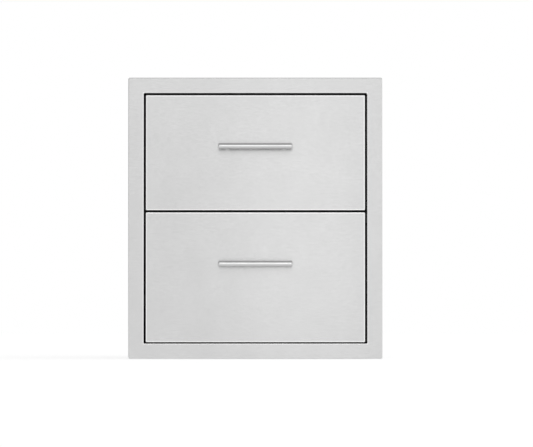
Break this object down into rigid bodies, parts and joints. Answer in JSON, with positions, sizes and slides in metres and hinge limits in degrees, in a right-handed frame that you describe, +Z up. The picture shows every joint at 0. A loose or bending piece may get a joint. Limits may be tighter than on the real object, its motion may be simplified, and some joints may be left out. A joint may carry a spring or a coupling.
{
  "type": "built-in drawer unit",
  "caption": "Built-in outdoor-kitchen drawer unit: flush stainless fronts with bar handles in a flanged face frame, folded boxes on full-extension ball slides in a sheet cabinet.",
  "frame": {"origin": "centre of the plane where the face frame's outer edge seats on the wall", "axes": "+X to the viewer's right, +Y into the wall, +Z up; the front faces -Y"},
  "size_m": [0.432, 0.53, 0.478],
  "materials": {
    "brushed_front": "satin",
    "handle_steel": "satin",
    "mill_sheet": "matte",
    "black_coat": "matte",
    "slide_steel": "satin",
    "ball_steel": "polished",
    "rivet_steel": "satin",
    "black_rubber": "matte",
    "lever_plastic": "matte"
  },
  "bodies": {
    "cabinet": {"face_frame": "brushed_front", "left_side_panel": "mill_sheet", "right_side_panel": "mill_sheet", "top_panel": "mill_sheet", "bottom_panel": "mill_sheet", "back_panel": "mill_sheet", "centre_rail": "black_coat", "rail_seal": "black_rubber", "slide_stops": "black_rubber", "cabinet_rivets": "rivet_steel", "upper_left_slide_outer": "slide_steel", "upper_right_slide_outer": "slide_steel", "lower_left_slide_outer": "slide_steel", "lower_right_slide_outer": "slide_steel"},
    "upper_drawer": {"upper_front_skin": "brushed_front", "upper_front_liner": "mill_sheet", "upper_box_body": "mill_sheet", "upper_box_front": "mill_sheet", "upper_box_back": "mill_sheet", "upper_handle_bar": "handle_steel", "upper_handle_posts": "handle_steel", "upper_handle_screws": "rivet_steel", "upper_bumpers": "black_rubber", "upper_drawer_rivets": "rivet_steel", "upper_lever_pivots": "rivet_steel", "upper_left_slide_inner": "slide_steel", "upper_right_slide_inner": "slide_steel"},
    "upper_slide_middles": {"upper_left_slide_middle": "slide_steel", "upper_right_slide_middle": "slide_steel"},
    "upper_outer_ball_cages": {"upper_outer_cages": "slide_steel", "upper_outer_balls": "ball_steel"},
    "upper_inner_ball_cages": {"upper_inner_cages": "slide_steel", "upper_inner_balls": "ball_steel"},
    "upper_left_lever": {"upper_left_release_lever": "lever_plastic"},
    "upper_right_lever": {"upper_right_release_lever": "lever_plastic"},
    "lower_drawer": {"lower_front_skin": "brushed_front", "lower_front_liner": "mill_sheet", "lower_box_body": "mill_sheet", "lower_box_front": "mill_sheet", "lower_box_back": "mill_sheet", "lower_handle_bar": "handle_steel", "lower_handle_posts": "handle_steel", "lower_handle_screws": "rivet_steel", "lower_bumpers": "black_rubber", "lower_drawer_rivets": "rivet_steel", "lower_lever_pivots": "rivet_steel", "lower_left_slide_inner": "slide_steel", "lower_right_slide_inner": "slide_steel"},
    "lower_slide_middles": {"lower_left_slide_middle": "slide_steel", "lower_right_slide_middle": "slide_steel"},
    "lower_outer_ball_cages": {"lower_outer_cages": "slide_steel", "lower_outer_balls": "ball_steel"},
    "lower_inner_ball_cages": {"lower_inner_cages": "slide_steel", "lower_inner_balls": "ball_steel"},
    "lower_left_lever": {"lower_left_release_lever": "lever_plastic"},
    "lower_right_lever": {"lower_right_release_lever": "lever_plastic"}
  },
  "joints": [
    {"name": "upper_drawer_slide", "type": "slide", "parent": "cabinet", "child": "upper_drawer", "axis": [0, -1, 0], "range_m": [0, 0.45]},
    {"name": "upper_middle_slide", "type": "slide", "parent": "cabinet", "child": "upper_slide_middles", "axis": [0, -1, 0], "range_m": [0, 0.225]},
    {"name": "upper_outer_cage_roll", "type": "slide", "parent": "cabinet", "child": "upper_outer_ball_cages", "axis": [0, -1, 0], "range_m": [0, 0.1125]},
    {"name": "upper_inner_cage_roll", "type": "slide", "parent": "cabinet", "child": "upper_inner_ball_cages", "axis": [0, -1, 0], "range_m": [0, 0.3375]},
    {"name": "upper_left_lever_pivot", "type": "hinge", "parent": "upper_drawer", "child": "upper_left_lever", "pos_m": [-0.1805, 0.266, 0.0977], "axis": [-1, 0, 0], "range_deg": [0, 8], "stiffness_Nm_per_rad": 0.02},
    {"name": "upper_right_lever_pivot", "type": "hinge", "parent": "upper_drawer", "child": "upper_right_lever", "pos_m": [0.1805, 0.266, 0.0977], "axis": [1, 0, 0], "range_deg": [0, 8], "stiffness_Nm_per_rad": 0.02},
    {"name": "lower_drawer_slide", "type": "slide", "parent": "cabinet", "child": "lower_drawer", "axis": [0, -1, 0], "range_m": [0, 0.45]},
    {"name": "lower_middle_slide", "type": "slide", "parent": "cabinet", "child": "lower_slide_middles", "axis": [0, -1, 0], "range_m": [0, 0.225]},
    {"name": "lower_outer_cage_roll", "type": "slide", "parent": "cabinet", "child": "lower_outer_ball_cages", "axis": [0, -1, 0], "range_m": [0, 0.1125]},
    {"name": "lower_inner_cage_roll", "type": "slide", "parent": "cabinet", "child": "lower_inner_ball_cages", "axis": [0, -1, 0], "range_m": [0, 0.3375]},
    {"name": "lower_left_lever_pivot", "type": "hinge", "parent": "lower_drawer", "child": "lower_left_lever", "pos_m": [-0.1805, 0.266, -0.1277], "axis": [-1, 0, 0], "range_deg": [0, 8], "stiffness_Nm_per_rad": 0.02},
    {"name": "lower_right_lever_pivot", "type": "hinge", "parent": "lower_drawer", "child": "lower_right_lever", "pos_m": [0.1805, 0.266, -0.1277], "axis": [1, 0, 0], "range_deg": [0, 8], "stiffness_Nm_per_rad": 0.02}
  ],
  "couplings": [
    {"joint": "upper_middle_slide", "follows": "upper_drawer_slide", "ratio": 0.5},
    {"joint": "upper_outer_cage_roll", "follows": "upper_drawer_slide", "ratio": 0.25},
    {"joint": "upper_inner_cage_roll", "follows": "upper_drawer_slide", "ratio": 0.75},
    {"joint": "lower_middle_slide", "follows": "lower_drawer_slide", "ratio": 0.5},
    {"joint": "lower_outer_cage_roll", "follows": "lower_drawer_slide", "ratio": 0.25},
    {"joint": "lower_inner_cage_roll", "follows": "lower_drawer_slide", "ratio": 0.75}
  ]
}
